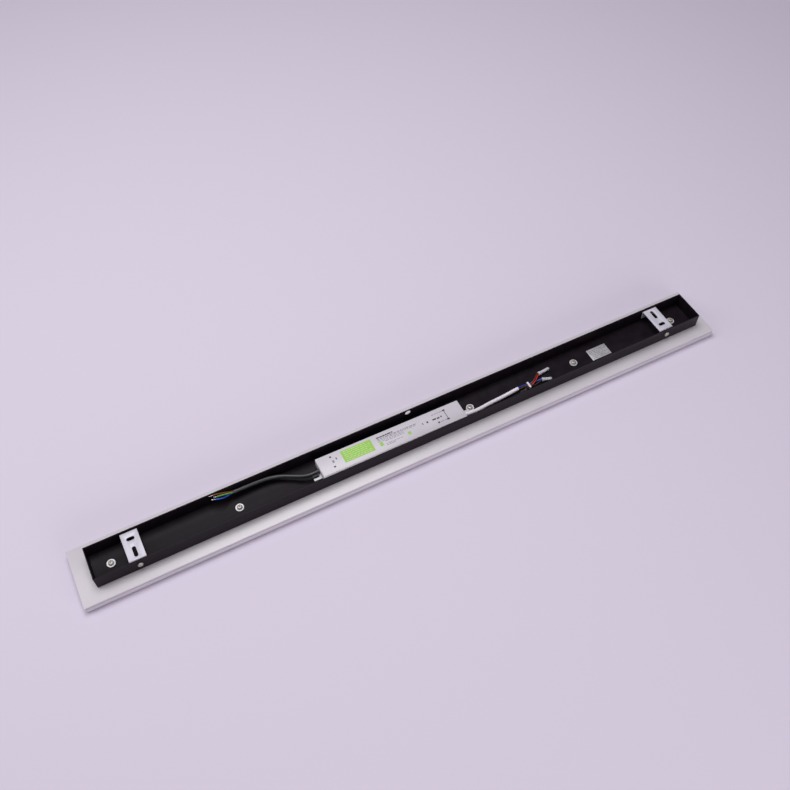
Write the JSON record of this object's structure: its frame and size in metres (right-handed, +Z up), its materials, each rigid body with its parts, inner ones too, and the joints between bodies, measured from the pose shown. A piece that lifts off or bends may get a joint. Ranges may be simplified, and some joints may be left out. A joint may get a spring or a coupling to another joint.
{
  "type": "vanity light bar",
  "caption": "Long slim wall lamp lying face down: black back tray with wall brackets, driver and wiring on a pale acrylic light body.",
  "frame": {"origin": "on the resting surface, under the middle of the acrylic body", "axes": "+X along the lamp, +Z up towards the lamp's wall side, driver on the -Y side of the tray"},
  "size_m": [1, 0.09, 0.0385],
  "materials": {
    "opal_acrylic": "pale translucent acrylic, satin",
    "carrier_sheet": "bare rolled aluminium with pressed-in nuts",
    "led_board": "white coated strip board with its LED packages",
    "black_coat": "fine matt black powder coat",
    "zinc": "bright zinc plate",
    "rubber": "matt black rubber",
    "silver_label": "printed silver film label",
    "case_plastic": "white moulded plastic",
    "printed_label": "printed white film label",
    "circuit_board": "green solder mask",
    "ferrite": "dark ferrite and tape",
    "capacitor_sleeve": "dark shrink sleeve",
    "foam": "closed-cell grey foam",
    "black_pvc": "black PVC sheath",
    "brown_pvc": "brown PVC insulation",
    "blue_pvc": "blue PVC insulation",
    "earth_pvc": "yellow and green PVC insulation",
    "red_pvc": "red PVC insulation",
    "tinned_copper": "twisted tinned strands",
    "white_pvc": "white PVC",
    "clear_nylon": "translucent nylon"
  },
  "bodies": {
    "lamp": {"acrylic_front": "opal_acrylic", "acrylic_back": "opal_acrylic", "led_carrier": "carrier_sheet", "led_board_1": "led_board", "led_board_2": "led_board", "led_board_3": "led_board", "led_board_4": "led_board", "tray_floor": "black_coat", "tray_wall_near": "black_coat", "tray_wall_far": "black_coat", "tray_end_left": "black_coat", "tray_end_right": "black_coat", "tray_washer_1": "zinc", "tray_washer_2": "zinc", "tray_washer_3": "zinc", "tray_washer_4": "zinc", "tray_washer_5": "zinc", "tray_washer_6": "zinc", "tray_screw_1": "zinc", "tray_screw_2": "zinc", "tray_screw_3": "zinc", "tray_screw_4": "zinc", "tray_screw_5": "zinc", "tray_screw_6": "zinc", "wire_grommet": "rubber", "rating_label": "silver_label", "driver_base": "case_plastic", "driver_cover": "case_plastic", "input_cable_clamp": "case_plastic", "output_cable_clamp": "case_plastic", "driver_label": "printed_label", "driver_pcb": "circuit_board", "driver_choke": "ferrite", "driver_transformer": "ferrite", "driver_mains_capacitor": "capacitor_sleeve", "driver_output_capacitor_1": "capacitor_sleeve", "driver_output_capacitor_2": "capacitor_sleeve", "driver_pad_left": "foam", "driver_pad_right": "foam", "mains_cable": "black_pvc", "led_lead_black": "black_pvc", "mains_lead_brown": "brown_pvc", "output_lead_brown": "brown_pvc", "mains_lead_blue": "blue_pvc", "output_lead_blue": "blue_pvc", "mains_lead_earth": "earth_pvc", "led_lead_red": "red_pvc", "mains_tip_brown": "tinned_copper", "mains_tip_blue": "tinned_copper", "mains_tip_earth": "tinned_copper", "output_cable": "white_pvc", "lead_tie": "white_pvc", "splice_cap_red": "clear_nylon", "splice_cap_black": "clear_nylon"},
    "left_bracket": {"wall_bracket_left": "zinc"},
    "right_bracket": {"wall_bracket_right": "zinc"},
    "left_near_lock_screw": {"lock_screw_left_near": "zinc"},
    "left_far_lock_screw": {"lock_screw_left_far": "zinc"},
    "right_near_lock_screw": {"lock_screw_right_near": "zinc"},
    "right_far_lock_screw": {"lock_screw_right_far": "zinc"}
  },
  "joints": [
    {"name": "left_bracket_slide", "type": "slide", "parent": "lamp", "child": "left_bracket", "axis": [0, 0, 1], "range_m": [0, 0.03]},
    {"name": "left_near_lock_screw_slide", "type": "slide", "parent": "lamp", "child": "left_near_lock_screw", "axis": [0, -1, 0], "range_m": [0, 0.002]},
    {"name": "left_far_lock_screw_slide", "type": "slide", "parent": "lamp", "child": "left_far_lock_screw", "axis": [0, 1, 0], "range_m": [0, 0.002]},
    {"name": "right_bracket_slide", "type": "slide", "parent": "lamp", "child": "right_bracket", "axis": [0, 0, 1], "range_m": [0, 0.03]},
    {"name": "right_near_lock_screw_slide", "type": "slide", "parent": "lamp", "child": "right_near_lock_screw", "axis": [0, -1, 0], "range_m": [0, 0.002]},
    {"name": "right_far_lock_screw_slide", "type": "slide", "parent": "lamp", "child": "right_far_lock_screw", "axis": [0, 1, 0], "range_m": [0, 0.002]}
  ]
}
